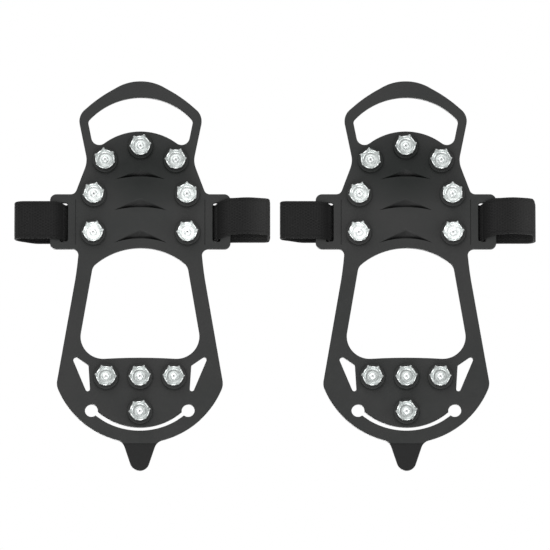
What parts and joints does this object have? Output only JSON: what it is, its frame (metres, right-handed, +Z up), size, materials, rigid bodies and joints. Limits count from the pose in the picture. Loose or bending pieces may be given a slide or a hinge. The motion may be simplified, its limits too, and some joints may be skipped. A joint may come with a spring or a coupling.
{
  "type": "shoe ice cleats",
  "caption": "Pair of slip-on shoe ice cleats: flat black rubber soles with toe loop and heel pull tab, toothed steel crown studs and a hook-and-loop instep strap on each.",
  "frame": {"origin": "centre of the bounding box of the pair, on the plane through the tooth tips", "axes": "+Z up from the ground to the shoe, +Y towards the toe, +X to the right of the wearer"},
  "size_m": [0.2978, 0.2252, 0.0176],
  "materials": {
    "rubber": "matt moulded",
    "crown_steel": "bright zinc plated",
    "rivet_steel": "zinc plated",
    "webbing": "ribbed webbing",
    "hook_tape": "moulded hooks",
    "loop_tape": "brushed loops",
    "thread": "polyester thread"
  },
  "bodies": {
    "soles": {"left_backing_washers": "rivet_steel", "left_crown_arch_inner": "crown_steel", "left_crown_arch_outer": "crown_steel", "left_crown_ball_inner": "crown_steel", "left_crown_ball_outer": "crown_steel", "left_crown_heel_inner": "crown_steel", "left_crown_heel_mid": "crown_steel", "left_crown_heel_outer": "crown_steel", "left_crown_heel_rear": "crown_steel", "left_crown_toe_inner": "crown_steel", "left_crown_toe_mid": "crown_steel", "left_crown_toe_outer": "crown_steel", "left_rivets": "rivet_steel", "left_sole_moulding": "rubber", "left_strap_base": "webbing", "right_backing_washers": "rivet_steel", "right_crown_arch_inner": "crown_steel", "right_crown_arch_outer": "crown_steel", "right_crown_ball_inner": "crown_steel", "right_crown_ball_outer": "crown_steel", "right_crown_heel_inner": "crown_steel", "right_crown_heel_mid": "crown_steel", "right_crown_heel_outer": "crown_steel", "right_crown_heel_rear": "crown_steel", "right_crown_toe_inner": "crown_steel", "right_crown_toe_mid": "crown_steel", "right_crown_toe_outer": "crown_steel", "right_rivets": "rivet_steel", "right_sole_moulding": "rubber", "right_strap_base": "webbing"},
    "left_heel_rim": {"left_heel_rim": "rubber"},
    "left_hook_wing": {"left_hook_patch": "hook_tape", "left_hook_stitching": "thread", "left_hook_wing": "webbing"},
    "left_loop_wing": {"left_loop_patch": "loop_tape", "left_loop_wing": "webbing"},
    "left_toe_loop": {"left_toe_loop": "rubber"},
    "right_heel_rim": {"right_heel_rim": "rubber"},
    "right_hook_wing": {"right_hook_patch": "hook_tape", "right_hook_stitching": "thread", "right_hook_wing": "webbing"},
    "right_loop_wing": {"right_loop_patch": "loop_tape", "right_loop_wing": "webbing"},
    "right_toe_loop": {"right_toe_loop": "rubber"}
  },
  "joints": [
    {"name": "left_toe_loop_fold", "type": "hinge", "parent": "soles", "child": "left_toe_loop", "pos_m": [-0.0747, 0.08105, 0.0105], "axis": [1, 0, 0], "range_deg": [0, 110], "stiffness_Nm_per_rad": 0.05},
    {"name": "left_heel_rim_fold", "type": "hinge", "parent": "soles", "child": "left_heel_rim", "pos_m": [-0.0747, -0.08305, 0.0105], "axis": [-1, 0, 0], "range_deg": [0, 100], "stiffness_Nm_per_rad": 0.05},
    {"name": "left_hook_wing_open", "type": "hinge", "parent": "soles", "child": "left_hook_wing", "pos_m": [-0.14317, 0.0309, 0.01735], "axis": [0, -1, 0], "range_deg": [0, 150]},
    {"name": "left_loop_wing_open", "type": "hinge", "parent": "soles", "child": "left_loop_wing", "pos_m": [-0.0067, 0.0309, 0.0139], "axis": [0, 1, 0], "range_deg": [0, 75]},
    {"name": "right_toe_loop_fold", "type": "hinge", "parent": "soles", "child": "right_toe_loop", "pos_m": [0.0769, 0.08105, 0.0105], "axis": [1, 0, 0], "range_deg": [0, 110], "stiffness_Nm_per_rad": 0.05},
    {"name": "right_heel_rim_fold", "type": "hinge", "parent": "soles", "child": "right_heel_rim", "pos_m": [0.0769, -0.08305, 0.0105], "axis": [-1, 0, 0], "range_deg": [0, 100], "stiffness_Nm_per_rad": 0.05},
    {"name": "right_hook_wing_open", "type": "hinge", "parent": "soles", "child": "right_hook_wing", "pos_m": [0.14317, 0.0309, 0.01735], "axis": [0, 1, 0], "range_deg": [0, 150]},
    {"name": "right_loop_wing_open", "type": "hinge", "parent": "soles", "child": "right_loop_wing", "pos_m": [0.0067, 0.0309, 0.0139], "axis": [0, -1, 0], "range_deg": [0, 75]}
  ],
  "couplings": [
    {"joint": "left_loop_wing_open", "follows": "left_hook_wing_open", "ratio": 0.5},
    {"joint": "right_loop_wing_open", "follows": "right_hook_wing_open", "ratio": 0.5}
  ]
}
